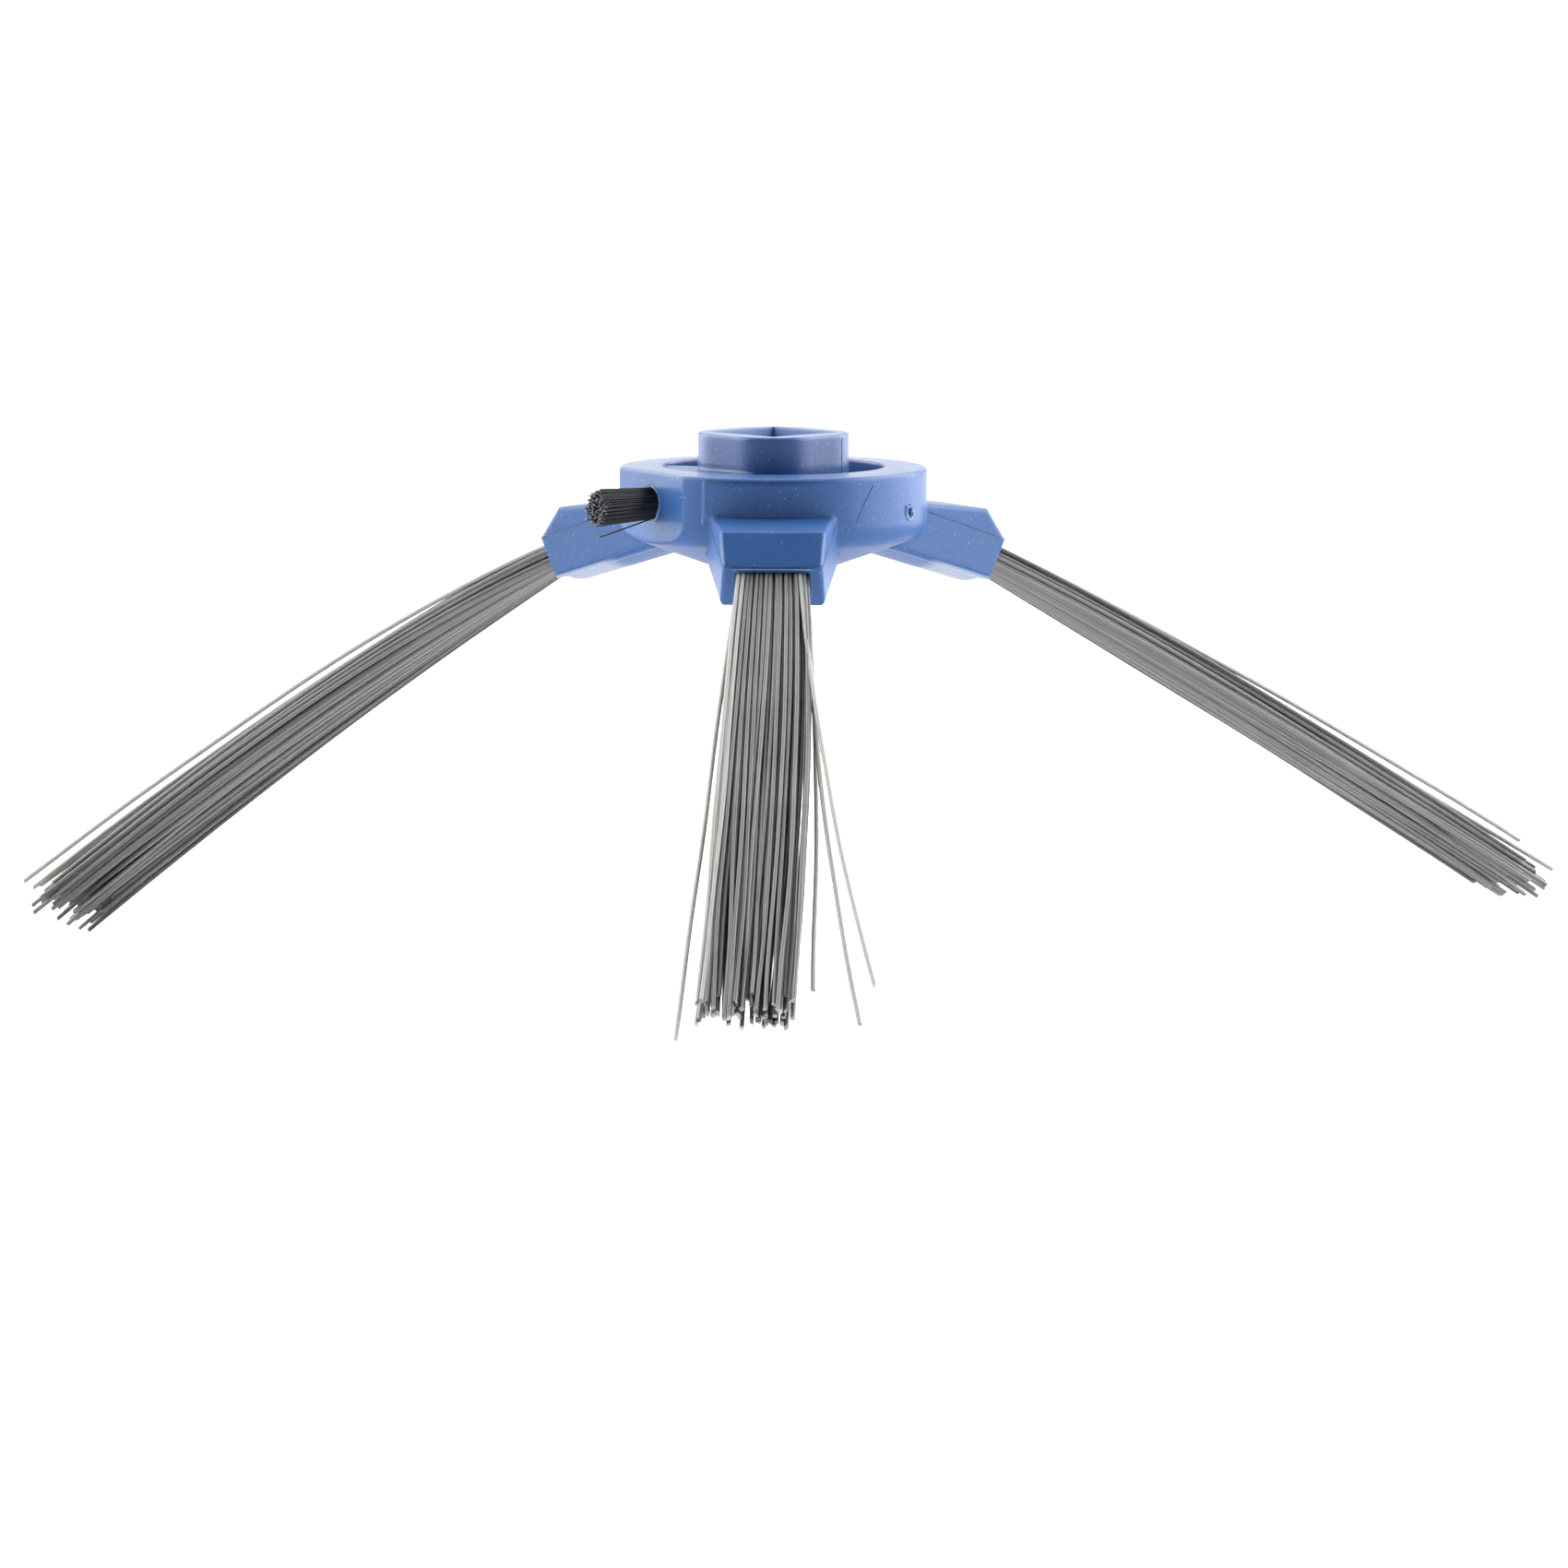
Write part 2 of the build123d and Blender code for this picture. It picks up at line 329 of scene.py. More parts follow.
def switched(tree, factor, low, high):
    """A value that is low where the factor is 0 and high where it is 1, from numbers or sockets."""
    ends = {"A": low, "B": high}
    fixed = {name: end for name, end in ends.items() if isinstance(end, float)}
    linked = {name: end for name, end in ends.items() if name not in fixed}
    return add(tree, "ShaderNodeMix", fixed, {"Factor": factor, **linked}, data_type="FLOAT").outputs[0]


def bumped(tree, relief, surface, strength, depth):
    """The direction of a surface that a pattern roughens by up to that many millimetres."""
    values = {"Strength": strength, "Distance": depth * MM}
    return add(tree, "ShaderNodeBump", values, {"Height": relief, "Normal": surface}).outputs["Normal"]


def finished(material, tree, shader):
    """The material with its shader joined to the output."""
    add(tree, "ShaderNodeOutputMaterial", links={"Surface": shader})
    return material


def moulded_blue_plastic(settings):
    """Injection moulded blue ABS with a fine satin surface."""
    # The eye sees a deep even blue that pales at a glancing angle, soft streaks of flow, a fine
    # spark texture that breaks up the gloss, a little pale dust, and a glossier top of disc and boss.
    material, tree = new_material("moulded_blue_abs")
    place = add(tree, "ShaderNodeTexCoord").outputs["Object"]
    surface = add(tree, "ShaderNodeNewGeometry").outputs["Normal"]
    flow = noise(tree, place, 7.0, 4.0, 0.6)
    grain = noise(tree, place, settings.grain, 2.0)
    wave = noise(tree, place, 2.6, 2.0, 0.45)
    blue = np.array(settings.blue)
    tint = between(tree, flow, blue * 0.93, blue * 1.07)

    # Dust lies in scattered specks, and as a thin veil on the crests of the grain.
    scatter = {"Scale": per_mm(0.75), "Randomness": 1.0}
    specks = add(tree, "ShaderNodeTexVoronoi", scatter, {"Vector": place}).outputs["Distance"]
    near = ramp(tree, specks, 0.1, 0.04, 0.0, 0.4)
    veil = ramp(tree, grain, 0.45, 0.75, 0.0, 0.025)
    dusted = tinted(tree, joined(tree, "ADD", near, veil), tint, linear("#c9d6ea"))

    # Painted light: the walls of the socket are tinted pale, for the light that reaches into it.
    height = part_of(tree, "Z", place)
    level = add(
        tree, "ShaderNodeVectorMath", {1: (1.0, 1.0, 0.0)}, {0: place}, operation="MULTIPLY",
    ).outputs["Vector"]
    from_axis = vector(tree, "LENGTH", level).outputs["Value"]
    below_rim = ramp(tree, height, -0.16 * MM, -0.06 * MM, 1.0, 0.0)
    inside = ramp(tree, from_axis, SOCKET_REACH * MM, (SOCKET_REACH - 0.1) * MM, 0.0, 1.0)
    in_socket = joined(tree, "MULTIPLY", below_rim, inside)
    socket_painted_light = tinted(tree, ramp(tree, in_socket, 0.0, 1.0, 0.0, 0.55), dusted, linear("#a9bce0"))

    # Painted reflection: the downward faces of the holders are tinted pale, for the pale floor seen in
    # them. Their ends face outward and keep the blue.
    downward = ramp(tree, part_of(tree, "Z", surface), -0.25, -0.6, 0.0, 0.5)
    outward = vector(tree, "NORMALIZE", level).outputs["Vector"]
    endwise = vector(tree, "DOT_PRODUCT", surface, outward).outputs["Value"]
    on_holder = ramp(tree, from_axis, (HOLDER_START - 0.5) * MM, (HOLDER_START + 1.0) * MM, 0.0, 1.0)
    not_end = ramp(tree, endwise, 0.5, 0.65, 1.0, 0.0)
    floor_reflection_mask = joined(tree, "MULTIPLY", joined(tree, "MULTIPLY", downward, on_holder), not_end)
    base_with_painted_light = tinted(tree, floor_reflection_mask, socket_painted_light, linear("#babec7"))

    # Edges are rounded for the eye, but the corners of the socket stay crisp.
    soft = add(tree, "ShaderNodeBevel", {"Radius": settings.edge_softness * MM}, samples=8)
    edge = add(
        tree, "ShaderNodeMix", None,
        {"Factor": in_socket, "A": soft.outputs["Normal"], "B": surface}, data_type="VECTOR",
    ).outputs[1]
    broad = bumped(tree, wave, edge, strength=0.12, depth=0.05)
    fine = bumped(tree, grain, broad, strength=0.6, depth=0.03)
    gloss = ramp(tree, flow, 0.0, 1.0, 0.27, 0.37)
    polish = ramp(tree, height, (DISC_TOP - 0.25) * MM, (DISC_TOP - 0.15) * MM, 0.0, 0.35)
    shader = add(
        tree, "ShaderNodeBsdfPrincipled",
        {
            "IOR": 1.53, "Coat Roughness": 0.12, "Subsurface Weight": 0.3,
            "Subsurface Radius": (0.5, 0.75, 1.0), "Subsurface Scale": settings.glow_depth * MM,
        },
        {
            "Base Color": base_with_painted_light, "Roughness": gloss, "Normal": fine, "Coat Weight": polish,
            "Coat Normal": broad,
        },
    )
    return finished(material, tree, shader.outputs["BSDF"])


def torn_plastic_and_brow_highlight(settings):
    """The same plastic, torn or squeezed out, rough and whitened; also the painted highlight on the brows.
    """
    # The eye sees pale crumbs and burrs round the gate, the tuft hole and the end of the slide. The pale
    # line on the brow of each mouth is a painted highlight.
    material, tree = new_material("torn_blue_abs_and_brow_highlight")
    place = add(tree, "ShaderNodeTexCoord").outputs["Object"]
    blue = np.array(settings.blue)
    crumb_and_highlight = between(tree, noise(tree, place, 0.3, 3.0), blue * 1.2, blue * 0.3 + (0.26, 0.34, 0.45))
    shader = add(tree, "ShaderNodeBsdfPrincipled", {"Roughness": 0.5}, {"Base Color": crumb_and_highlight})
    return finished(material, tree, shader.outputs["BSDF"])


def drawn_nylon(name, dark, pale, cut_end, roughness, ior, glow, glint):
    """Drawn nylon filament: each strand has its own tone, a soft gloss along it and a paler cut end."""
    # The eye sees many thin strands of slightly different tone. A cloudy strand glows with the light
    # that spreads in it. The thin bright line down its middle, where a round strand gathers light like a
    # lens, is a painted highlight.
    material, tree = new_material(name)
    place = add(tree, "ShaderNodeTexCoord").outputs["Object"]
    tone = add(tree, "ShaderNodeAttribute", attribute_name="tone").outputs["Fac"]
    cut = add(tree, "ShaderNodeAttribute", attribute_name="cut").outputs["Fac"]
    dust = noise(tree, place, 14.0, 2.0)
    strand = between(tree, tone, dark, pale)
    dusty = tinted(tree, ramp(tree, dust, 0.52, 0.75, 0.0, 0.12), strand, pale)
    ended = tinted(tree, cut, dusty, linear(cut_end))
    # Painted highlight: the colour pales along the middle of each strand, where it faces the eye.
    facing = add(tree, "ShaderNodeLayerWeight", {"Blend": 0.5}).outputs["Facing"]
    middle = ramp(tree, facing, 0.08, 0.01, 0.0, glint)
    patchy = ramp(tree, dust, 0.35, 0.65, 0.5, 1.0)
    lit = tinted(tree, joined(tree, "MULTIPLY", middle, patchy), ended, linear("#e4e5e4"))
    shader = add(
        tree, "ShaderNodeBsdfPrincipled",
        {
            "IOR": ior, "Roughness": roughness, "Subsurface Weight": glow,
            "Subsurface Radius": (1.0, 1.0, 1.0), "Subsurface Scale": 0.5 * MM,
        },
        {"Base Color": lit},
    )
    return finished(material, tree, shader.outputs["BSDF"])


def drawn_steel_wire():
    """Plain drawn steel of the hidden anchor wire."""
    # The eye would see a dull grey metal with a finely uneven gloss.
    material, tree = new_material("drawn_steel")
    place = add(tree, "ShaderNodeTexCoord").outputs["Object"]
    rough = ramp(tree, noise(tree, place, 0.15, 2.0), 0.0, 1.0, 0.28, 0.45)
    steel = {"Base Color": full(linear("#b4b6b8")), "Metallic": 1.0}
    shader = add(tree, "ShaderNodeBsdfPrincipled", steel, {"Roughness": rough})
    return finished(material, tree, shader.outputs["BSDF"])


def holder_axes(turn):
    """Directions of the holder at that turn: outward and left on the level, along its pocket, above it."""
    level = np.array([cos(turn), sin(turn), 0.0])
    left = np.array([-sin(turn), cos(turn), 0.0])
    ahead = level * cos(POCKET_PITCH) - RISE * sin(POCKET_PITCH)
    above = level * sin(POCKET_PITCH) + RISE * cos(POCKET_PITCH)
    return level, left, ahead, above


def dress(name, mesh, material):
    """Puts a finished mesh into the scene as a piece of the brush."""
    piece = bpy.data.objects.new(name, mesh)
    bpy.context.scene.collection.objects.link(piece)
    piece.data.materials.append(material)
    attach(piece, "root")
    return piece


def strands_mesh(name, paths, radii, sides, hint, slant, slant_turn, tones):
    """Many closed round strands as one mesh.

    A circle of sides points is carried along each path. Its plane is square to the path, with one axis
    square to both the path and the hint. The last circle is slid along the path by slant times the offset
    towards slant_turn, which gives a slanting cut. A centre point closes each end.
    """
    count, steps = paths.shape[:2]
    along = np.gradient(paths, axis=1)
    along /= np.linalg.norm(along, axis=2, keepdims=True)
    side = np.cross(along, hint)
    side /= np.linalg.norm(side, axis=2, keepdims=True)
    over = np.cross(along, side)
    turn = np.arange(sides) * 2 * pi / sides
    ring = np.cos(turn)[:, None] * side[:, :, None, :] + np.sin(turn)[:, None] * over[:, :, None, :]
    tube = paths[:, :, None, :] + radii[:, :, None, None] * ring
    lean = slant[:, None] * radii[:, -1:] * np.cos(turn - slant_turn[:, None])
    tube[:, -1] += lean[:, :, None] * along[:, -1, None, :]
    points = np.concatenate([tube.reshape(-1, 3), tube[:, 0].mean(1), tube[:, -1].mean(1)])

    grid = np.arange(count * steps * sides).reshape(count, steps, sides)
    after = np.roll(grid, -1, axis=2)
    walls = np.stack([grid[:, :-1], after[:, :-1], after[:, 1:], grid[:, 1:]], -1).reshape(-1, 4)
    foot = count * steps * sides + np.arange(count)
    tip = foot + count
    foot_ring = np.broadcast_to(foot[:, None], (count, sides))
    tip_ring = np.broadcast_to(tip[:, None], (count, sides))
    feet = np.stack([after[:, 0], grid[:, 0], foot_ring], -1).reshape(-1, 3)
    tips = np.stack([grid[:, -1], after[:, -1], tip_ring], -1).reshape(-1, 3)

    mesh = bpy.data.meshes.new(name)
    mesh.from_pydata((points * MM).tolist(), [], walls.tolist() + feet.tolist() + tips.tolist())
    tone = mesh.attributes.new("tone", "FLOAT", "POINT")
    tone.data.foreach_set(
        "value", np.concatenate([np.repeat(tones, steps * sides), tones, tones]).astype(np.float32)
    )
    cut = mesh.attributes.new("cut", "FLOAT", "POINT")
    ends = np.zeros(len(points), np.float32)
    ends[foot[0]:] = 1
    ends[grid[:, -1].ravel()] = 1
    cut.data.foreach_set("value", ends)
    mesh.shade_smooth()
    mesh.set_sharp_from_angle(angle=radians(50))
    return mesh


def plain_strands(name, paths, radii, sides, hints):
    """Closed wires with square ends and no tone, by the formula of strands_mesh."""
    none = np.zeros(len(paths))
    return strands_mesh(
        name, np.array(paths), radii, sides, np.array(hints)[:, None, :], none, none, none,
    )


def flat_tuft_paths(
    settings, chance, turn, fan, gather, twist, bow, droop, sway, paleness, longer, strays,
):
    """Paths of one flat tuft, the direction above it and a tone for each strand.

    Roots stand in staggered rows in the pocket, each a little off its place. With t the share of the
    free length, a strand's place across the tuft is its root's place times 1 + fan (1 - e^(-t / 0.3))
    less gather t^4, and its place through the tuft its root's place times 1 + 0.3 t. Each strand adds
    two slow waves of its own, which grow with t^1.3, and a drift, which grows with t^1.25 and is mostly
    that of its lock. Strays have a drift, a power and a length of their own. Both places are turned about
    the axis by twist (1 - e^(-t / 0.25)). Then come sway t^1.4 across, and bow t (1 - t) less droop t^1.6
    through. Tones spread about half the paleness by lock and by strand, and strays are never dark.
    """
    column, row = np.meshgrid(np.arange(settings.columns), np.arange(settings.rows))
    column, row = column.ravel(), row.ravel()
    count = len(column)
    step = 2 / (settings.columns - 0.5)
    jitter = chance.uniform(-0.21, 0.21, (2, count))
    share_x = np.clip(column * step - 1 + (row % 2) * step / 2 + jitter[0] * step, -1, 1)
    share_y = np.clip((row + jitter[1]) / (settings.rows - 1) * 2 - 1, -1, 1)
    room_x = (settings.mouth_width - settings.filament) / 2
    room_y = (settings.mouth_height - settings.filament) / 2
    lock = chance.uniform(-1, 1, (settings.columns, settings.rows, 3))[column // 3, row // 2]
    own_drift = np.clip(chance.normal(0, 1, (count, 2)), -1.2, 1.2)
    drift = lock[:, :2] * (0.45, 0.5) + own_drift * (0.16, 0.13)
    bend = np.full((count, 1), 1.25)
    uneven = np.clip(chance.normal(-0.3, 0.5, count), -1.6, 0.6)
    length = settings.free_length + longer + settings.ragged * uneven
    loose = np.zeros(count, bool)
    for stray_x, stray_y, across, through, extra, power in strays:
        nearest = np.argmin((share_x - stray_x) ** 2 + (share_y - stray_y) ** 2)
        drift[nearest] = across, through
        bend[nearest] = power
        loose[nearest] = True
        length[nearest] = settings.free_length + extra

    t = np.concatenate([[-1.0, -0.02], np.linspace(0.0, 0.999, 26) ** 1.15, [1.0]])
    out = np.clip(t, 0, None)[None, :] * (length / settings.free_length)[:, None]
    reach = np.where(t < 0, t * (settings.pocket_depth - 0.1), 0)[None, :] + out * settings.free_length
    phase = chance.uniform(0, 2 * pi, (4, count, 1))
    wave_x = 0.14 * np.sin(2.3 * pi * out + phase[0]) + 0.05 * np.sin(5.1 * pi * out + phase[1])
    wave_y = 0.10 * np.sin(2.1 * pi * out + phase[2]) + 0.04 * np.sin(4.7 * pi * out + phase[3])
    grow = out**1.3
    spread = 1 + fan * (1 - np.exp(-out / 0.3)) - gather * out**4
    strayed = out**bend
    wide = share_x[:, None] * room_x * spread + grow * wave_x + drift[:, :1] * strayed
    thick = share_y[:, None] * room_y * (1 + 0.3 * out) + grow * wave_y + drift[:, 1:] * strayed
    roll = radians(twist) * (1 - np.exp(-out / 0.25))
    across = wide * np.cos(roll) - thick * np.sin(roll) + sway * out**1.4
    through = thick * np.cos(roll) + wide * np.sin(roll) + bow * out * (1 - out) - droop * out**1.6

    level, left, ahead, above = holder_axes(radians(turn))
    mouth = level * MOUTH_DISTANCE + RISE * MOUTH_HEIGHT
    paths = mouth + reach[..., None] * ahead + across[..., None] * left + through[..., None] * above
    tones = paleness * (0.5 + 0.22 * lock[:, 2] + chance.uniform(-0.28, 0.28, count))
    # Painted light: strays are kept pale, for the light that shines through a lone strand.
    tones[loose] = np.maximum(tones[loose], 0.5)
    return paths, above, tones


class SIDEBRUSH_OT_hub(bpy.types.Operator):
    """Give the blue moulding its plastic"""

    bl_idname = "sidebrush.hub"
    bl_label = "Moulded hub"

    def execute(self, context):
        settings = context.scene.sidebrush_hub
        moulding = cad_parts["hub"]
        moulding.data.materials.clear()
        moulding.data.materials.append(moulded_blue_plastic(settings))
        return {"FINISHED"}


class SIDEBRUSH_OT_mould_marks(bpy.types.Operator):
    """Add the parting lines and the torn plastic that the mould left on the hub, and brow highlights"""

    bl_idname = "sidebrush.mould_marks"
    bl_label = "Mould marks"

    def execute(self, context):
        settings = context.scene.sidebrush_hub
        self.draw_parting_lines()
        self.draw_torn_plastic_and_brow_highlights(settings, np.random.default_rng(settings.seed))
        return {"FINISHED"}

    def draw_parting_lines(self):
        """Thin wires, straight in distance, turn and height, half sunk in the surface.

        They run down both flanks of each holder, down one corner of the boss and across the wall.
        """
        steps = 24
        t = np.linspace(0, 1, steps)[:, None]
        flank_wire, thin_wire = 0.06, 0.035
        flank_start, flank_run, flank_top, flank_fall = 13.3, 8.8, -7.5, 2.94
        holder_half, holder_taper, holder_run = 5.6, 1.1, 8.15
        boss_corner, boss_top, boss_fall = np.array([6.31, -2.39, 0.0]), -0.3, 5.0
        wall_start, wall_run, wall_top, wall_fall = -49.8, 7.7, -4.0, 3.2
        paths, hints, radii = [], [], []
        distance = flank_start + flank_run * t
        half_width = holder_half - holder_taper * (distance - WALL_RADIUS) / holder_run
        flank_height = flank_top - flank_fall * t
        for turn in np.radians(HOLDER_TURNS):
            level, left, _, _ = holder_axes(turn)
            for flank in (-1, 1):
                paths.append(distance * level + flank * half_width * left + flank_height * RISE)
                hints.append(left)
                radii.append(flank_wire)
        paths.append(boss_corner + (boss_top - boss_fall * t) * RISE)
        hints.append(np.array([1.0, 0.0, 0.0]))
        radii.append(thin_wire)
        wall_turn = np.radians(wall_start - wall_run * t)
        on_wall = np.concatenate([np.cos(wall_turn), np.sin(wall_turn), 0 * t], 1)
        paths.append(WALL_RADIUS * on_wall + (wall_top - wall_fall * t) * RISE)
        hints.append(np.array([0.6, -0.8, 0.0]))
        radii.append(thin_wire)
        wires = np.repeat(radii, steps).reshape(len(paths), steps)
        mesh = plain_strands("parting_lines", paths, wires, 8, hints)
        dress("parting_lines", mesh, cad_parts["hub"].data.materials[0])

    def draw_torn_plastic_and_brow_highlights(self, settings, chance):
        """Pale wires of uneven radius.

        Two are ellipses on the wall, round the gate and the tuft hole. Three are short upright beads at
        the end of the slide, swelling as half a sine. One lies straight on each brow as a painted
        highlight.
        """
        steps = 24
        t = np.linspace(0, 1, steps)[:, None]
        bead_length, bead_wire = 0.3, 0.12
        brow_up, brow_ahead, brow_length, brow_highlight_wire = 1.38, 0.18, 7.1, 0.06
        paths, hints, radii = [], [], []
        angle = 2 * pi * t
        for distance, height, turn, half_across, half_up, wire in (
            (WALL_RADIUS, GATE_HEIGHT, GATE_TURN, 0.6, 0.62, 0.17),
            (HOLE_DISTANCE, HOLE_HEIGHT, HOLE_TURN, 1.58, 1.58, 0.11),
        ):
            outward, left, _, _ = holder_axes(turn)
            centre = distance * outward + height * RISE
            wobble = chance.normal(0, 0.05, (steps, 1))
            paths.append(
                centre + (half_across + wobble) * np.cos(angle) * left
                + (half_up + wobble) * np.sin(angle) * RISE
            )
            hints.append(outward)
            radii.append(wire * chance.uniform(0.35, 1.3, steps))
        for distance, height in ((14.3, -7.25), (13.72, -8.7), (14.35, -6.95)):
            outward = holder_axes(SLIDE_TURN)[0]
            paths.append(distance * outward + (height + bead_length * (t - 0.5)) * RISE)
            hints.append(outward)
            radii.append(bead_wire * np.sin(pi * np.linspace(0.1, 0.9, steps)))
        # Painted highlight: a pale bead along the top edge of each brow.
        for turn in np.radians(HOLDER_TURNS):
            level, left, ahead, above = holder_axes(turn)
            mouth = level * MOUTH_DISTANCE + RISE * MOUTH_HEIGHT
            brow = mouth + brow_up * above + brow_ahead * ahead
            paths.append(brow + brow_length * (t - 0.5) * left)
            hints.append(above)
            radii.append(brow_highlight_wire * chance.uniform(0.7, 1.2, steps))
        mesh = plain_strands("torn_plastic_and_brow_highlights", paths, np.array(radii), 6, hints)
        dress("torn_plastic_and_brow_highlights", mesh, torn_plastic_and_brow_highlight(settings))


class SIDEBRUSH_OT_sweeping_tufts(bpy.types.Operator):
    """Make the three flat tufts of long grey nylon"""

    bl_idname = "sidebrush.sweeping_tufts"
    bl_label = "Sweeping tufts"

    def execute(self, context):
        settings = context.scene.sidebrush_sweeping
        nylon = drawn_nylon(
            "grey_drawn_nylon", settings.grey, settings.pale, cut_end="#8d8e8c",
            roughness=0.22, ior=1.53, glow=0.7, glint=0.55,
        )
        for node, tuft in SWEEPING_SETS.items():
            shape = dict(tuft)
            chance = np.random.default_rng(settings.seed + shape.pop("seed"))
            paths, above, tones = flat_tuft_paths(settings, chance, **shape)
            count, steps = paths.shape[:2]
            radii = np.repeat(settings.filament / 2 * chance.uniform(0.97, 1.1, (count, 1)), steps, 1)
            mesh = strands_mesh(
                node + "_strands", paths, radii, 8, above,
                chance.uniform(0.2, 1.2, count), chance.uniform(0, 2 * pi, count), tones,
            )
            piece = dress(node + "_strands", mesh, nylon)
            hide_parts(node)
        return {"FINISHED"}


class SIDEBRUSH_OT_sensor_tuft(bpy.types.Operator):
    """Make the short round tuft of black nylon in the wall"""

    bl_idname = "sidebrush.sensor_tuft"
    bl_label = "Sensor tuft"

    def execute(self, context):
        settings = context.scene.sidebrush_sensor
        chance = np.random.default_rng(settings.seed)
        count = settings.count
        # Roots lie on a sunflower spiral: distance from the axis grows with the square root of the
        # index, and the turn grows by the golden angle. Strands run straight out, spread a little, sag
        # and have a slight lean of their own.
        index = np.arange(count)
        edge = (settings.bundle - settings.filament) / 2
        spot = edge * np.sqrt((index + 0.5) / count)
        turn = index * pi * (3 - 5**0.5)
        across, height = spot * np.cos(turn), spot * np.sin(turn)
        lean = chance.normal(0, 0.06, (2, count))
        length = settings.free_length + np.clip(chance.normal(-0.1, 0.22, count), -0.6, 0.4)
        # The last strand is a stray that hangs below the bundle.
        across[-1], height[-1] = 0.0, -edge
        lean[:, -1] = 0.0, -1.1
        length[-1] = 5.5
        t = np.array([-1.0, 0.0, 0.5, 0.98, 1.0])
        out = np.clip(t, 0, None)[None, :]
        reach = np.where(t < 0, t * (settings.hole_depth - 0.3), 0)[None, :] + out * length[:, None]
        flare, sag = 0.14, 0.2
        spread = 1 + flare * out
        out_way, left, _, _ = holder_axes(HOLE_TURN)
        start = out_way * HOLE_DISTANCE + RISE * HOLE_HEIGHT
        paths = (
            start + reach[..., None] * out_way
            + (across[:, None] * spread + lean[0][:, None] * out)[..., None] * left
            + (height[:, None] * spread + (lean[1][:, None] - sag) * out)[..., None] * RISE
        )
        radii = np.full((count, len(t)), settings.filament / 2)
        slant, slant_turn = chance.uniform(0.2, 1.4, count), chance.uniform(0, 2 * pi, count)
        tones = chance.uniform(0, 1, count)
        mesh = strands_mesh("sensor_strands", paths, radii, 6, RISE, slant, slant_turn, tones)
        nylon = drawn_nylon(
            "black_drawn_nylon", settings.black, settings.soot, cut_end="#7d7e82",
            roughness=0.34, ior=1.36, glow=0.0, glint=0.0,
        )
        piece = dress("sensor_strands", mesh, nylon)
        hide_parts("sensor_tuft")
        return {"FINISHED"}


class SIDEBRUSH_OT_staple(bpy.types.Operator):
    """Give the hidden anchor wire its steel"""

    bl_idname = "sidebrush.staple"
    bl_label = "Anchor wire"

    def execute(self, context):
        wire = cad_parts["tuft_staple"]
        wire.data.materials.clear()
        wire.data.materials.append(drawn_steel_wire())
        return {"FINISHED"}


def matt_floor(settings):
    """Pale matt light table: white to the eye, keeps the soft shadow of the tips."""
    # The eye sees a white sheet that runs into the white room and lights the brush from below. For the
    # camera its glow grows with the distance from the brush, which evens out the fall of the light. In
    # reflections the sheet is dim near the brush and bright behind it.
    material, tree = new_material("pale_floor")
    path = add(tree, "ShaderNodeLightPath")
    glossy, camera = path.outputs["Is Glossy Ray"], path.outputs["Is Camera Ray"]
    place = add(tree, "ShaderNodeTexCoord").outputs["Object"]
    pale = np.array(settings.floor_colour)
    tint = between(tree, noise(tree, place, 9.0, 2.0), pale * 0.985, pale)
    matt = add(
        tree, "ShaderNodeBsdfPrincipled", {"Roughness": 0.9, "Specular IOR Level": 0.0},
        {"Base Color": tinted(tree, glossy, tint, pale * 0.45)},
    )
    lift = ramp(tree, vector(tree, "LENGTH", place).outputs["Value"], 0.15, 0.7, 0.5, 1.0)
    sheen = ramp(tree, part_of(tree, "Y", place), 0.15, 0.35, 0.0, 1.0)
    strength = switched(tree, camera, switched(tree, glossy, settings.table_light, sheen), lift)
    glow = add(tree, "ShaderNodeEmission", None, {"Strength": strength})
    shown = add(
        tree, "ShaderNodeAddShader", None, {0: matt.outputs["BSDF"], 1: glow.outputs["Emission"]},
    )
    return finished(material, tree, shown.outputs["Shader"])


def white_room(settings):
    """Room of soft light: bright behind and above the brush and dim on the camera's side."""
    # The eye sees plain white. Reflections see only a narrow bright band straight behind the brush.
    world = bpy.data.worlds.new("white_room")
    world.use_nodes = True
    tree = world.node_tree
    tree.nodes.clear()
    path = add(tree, "ShaderNodeLightPath")
    way = add(tree, "ShaderNodeTexCoord").outputs["Generated"]
    towards = add(
        tree, "ShaderNodeVectorMath", {1: (0.0, 1.0, 0.2)}, {0: way}, operation="DOT_PRODUCT",
    ).outputs["Value"]
    low, high, soft = settings.front_light, settings.room_light, "SMOOTHSTEP"
    bright = ramp(tree, towards, -0.2, 0.45, low, high, interpolation_type=soft)
    narrow = ramp(tree, towards, 0.7, 0.93, low, high, interpolation_type=soft)
    mirrored = switched(tree, path.outputs["Is Glossy Ray"], bright, narrow)
    seen = joined(tree, "MAXIMUM", path.outputs["Is Camera Ray"], path.outputs["Is Transmission Ray"])
    strength = switched(tree, seen, mirrored, 1.0)
    background = add(
        tree, "ShaderNodeBackground", {"Color": (1.0, 1.0, 1.0, 1.0)}, {"Strength": strength},
    )
    add(tree, "ShaderNodeOutputWorld", links={"Surface": background.outputs["Background"]})
    return world


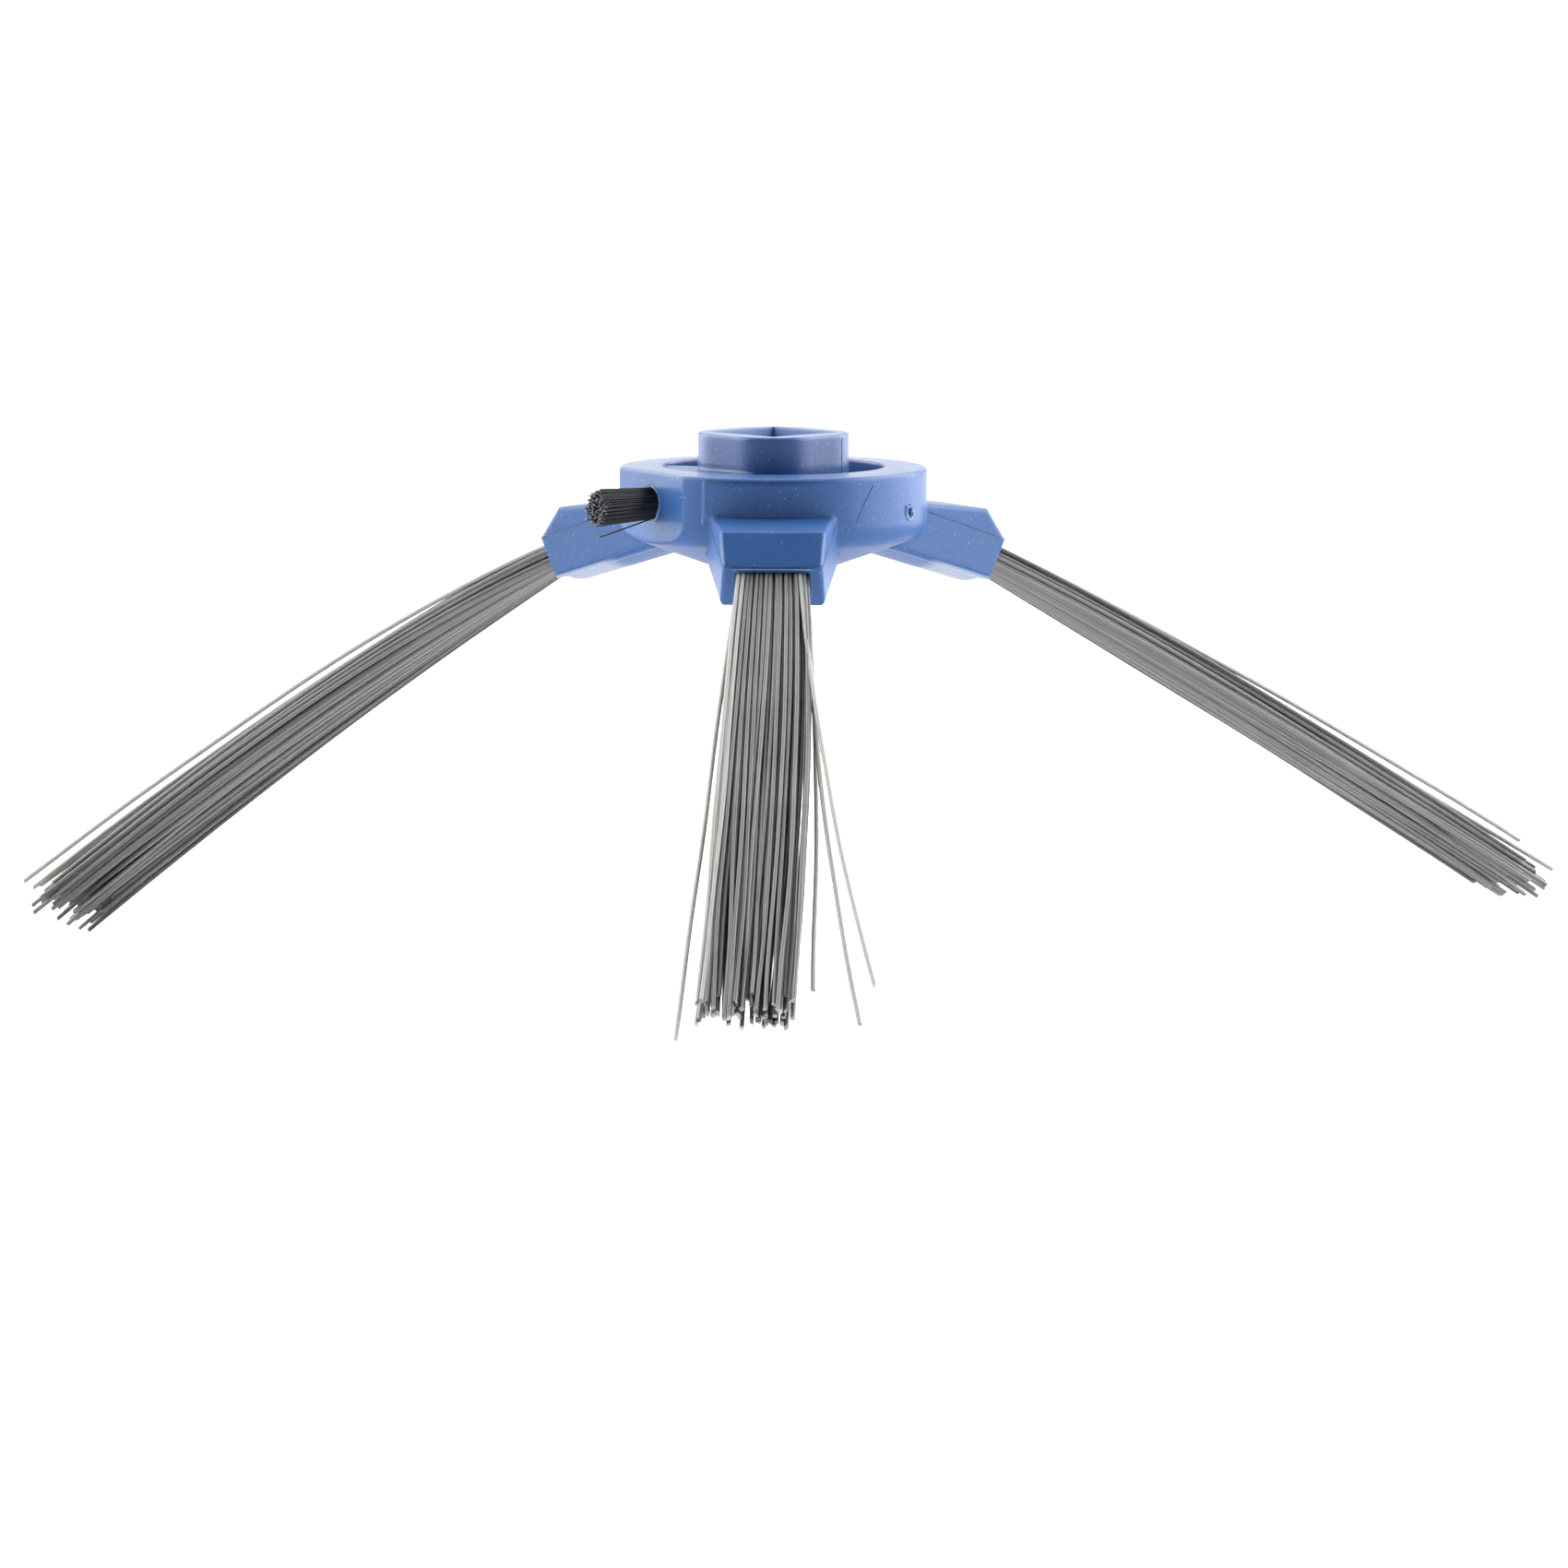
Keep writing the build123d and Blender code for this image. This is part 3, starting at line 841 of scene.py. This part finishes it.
class SIDEBRUSH_OT_stage(bpy.types.Operator):
    """Set the pale floor, the white room, three panels of light and the camera"""

    bl_idname = "sidebrush.stage"
    bl_label = "Stage"

    def execute(self, context):
        settings = context.scene.sidebrush_stage
        scene = context.scene
        low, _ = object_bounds()

        # The floor is a square sheet at the lowest tip, a bilinear grid of its four corners.
        half = 4.0
        u, v = np.meshgrid([-half, half], [-half, half])
        corners = np.stack([u.ravel(), v.ravel(), np.full(4, low.z)], -1)
        mesh = bpy.data.meshes.new("floor")
        mesh.from_pydata(corners.tolist(), [], [(0, 1, 3, 2)])
        floor = bpy.data.objects.new("floor", mesh)
        scene.collection.objects.link(floor)
        floor.data.materials.append(matt_floor(settings))
        floor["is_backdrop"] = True
        scene.world = white_room(settings)

        # Two square panels stand left and right of the brush, and one hangs overhead. All face its axis.
        for name, place, brightness in (
            ("panel_left", (-0.6, 0.15, 0.2), settings.side_light),
            ("panel_right", (0.6, 0.13, 0.2), settings.side_light * 1.15),
            ("panel_top", (0.0, 0.4, 0.9), settings.top_light),
        ):
            panel = bpy.data.lights.new(name, "AREA")
            panel.shape = "SQUARE"
            panel.size = 1.0
            panel.energy = brightness * pi * panel.size**2
            lamp = bpy.data.objects.new(name, panel)
            lamp.location = place
            lamp.rotation_euler = (-lamp.location).to_track_quat("-Z", "Y").to_euler()
            lamp.visible_camera = False
            scene.collection.objects.link(lamp)

        # A long lens looks slightly down. It stands a little aside, aims further down than the spin axis
        # at the disc top, and is rolled a little, which puts the brush where the photograph has it.
        photo_pixels, focal_pixels = 1700.0, 17754.8
        aside, aim_down, roll = 0.0011, radians(1.114), radians(0.198)
        lens = bpy.data.cameras.new("camera")
        lens.sensor_width = 36.0
        lens.lens = focal_pixels * lens.sensor_width / photo_pixels
        lens.clip_end = 50.0
        camera = bpy.data.objects.new("camera", lens)
        height = DISC_TOP * MM + settings.distance * tan(settings.elevation)
        camera.location = (aside, -settings.distance, height)
        pitch = Euler((pi / 2 - settings.elevation - aim_down, 0.0, 0.0))
        tilt = Euler((0.0, 0.0, roll))
        camera.rotation_euler = (pitch.to_matrix() @ tilt.to_matrix()).to_euler()
        scene.collection.objects.link(camera)
        scene.camera = camera

        scene.view_settings.view_transform = "Standard"
        return {"FINISHED"}


class SIDEBRUSH_PT_panel(bpy.types.Panel):
    """Sizes, colours and steps of the side brush"""

    bl_idname = "SIDEBRUSH_PT_panel"
    bl_label = "Side brush"
    bl_space_type = "VIEW_3D"
    bl_region_type = "UI"
    bl_category = "Side brush"

    def draw(self, context):
        for step, group in STEPS:
            self.layout.operator(step)
            if group is None:
                continue
            settings = getattr(context.scene, group)
            for name in settings.__annotations__:
                self.layout.prop(settings, name)


STEPS = [
    ("sidebrush.hub", "sidebrush_hub"),
    ("sidebrush.mould_marks", None),
    ("sidebrush.sweeping_tufts", "sidebrush_sweeping"),
    ("sidebrush.sensor_tuft", "sidebrush_sensor"),
    ("sidebrush.staple", None),
    ("sidebrush.stage", "sidebrush_stage"),
]
GROUPS = {
    "sidebrush_hub": HubSettings,
    "sidebrush_sweeping": SweepingTuftSettings,
    "sidebrush_sensor": SensorTuftSettings,
    "sidebrush_stage": StageSettings,
}
CLASSES = [
    HubSettings,
    SweepingTuftSettings,
    SensorTuftSettings,
    StageSettings,
    SIDEBRUSH_OT_hub,
    SIDEBRUSH_OT_mould_marks,
    SIDEBRUSH_OT_sweeping_tufts,
    SIDEBRUSH_OT_sensor_tuft,
    SIDEBRUSH_OT_staple,
    SIDEBRUSH_OT_stage,
    SIDEBRUSH_PT_panel,
]


def register():
    for each in CLASSES:
        bpy.utils.register_class(each)
    for name, group in GROUPS.items():
        setattr(bpy.types.Scene, name, PointerProperty(type=group))


def unregister():
    for name in GROUPS:
        delattr(bpy.types.Scene, name)
    for each in reversed(CLASSES):
        bpy.utils.unregister_class(each)


def main():
    """Registers the add-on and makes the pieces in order."""
    register()
    bpy.ops.sidebrush.hub()
    bpy.ops.sidebrush.mould_marks()
    bpy.ops.sidebrush.sweeping_tufts()
    bpy.ops.sidebrush.sensor_tuft()
    bpy.ops.sidebrush.staple()
    bpy.ops.sidebrush.stage()


if __name__ == "__main__":
    main()
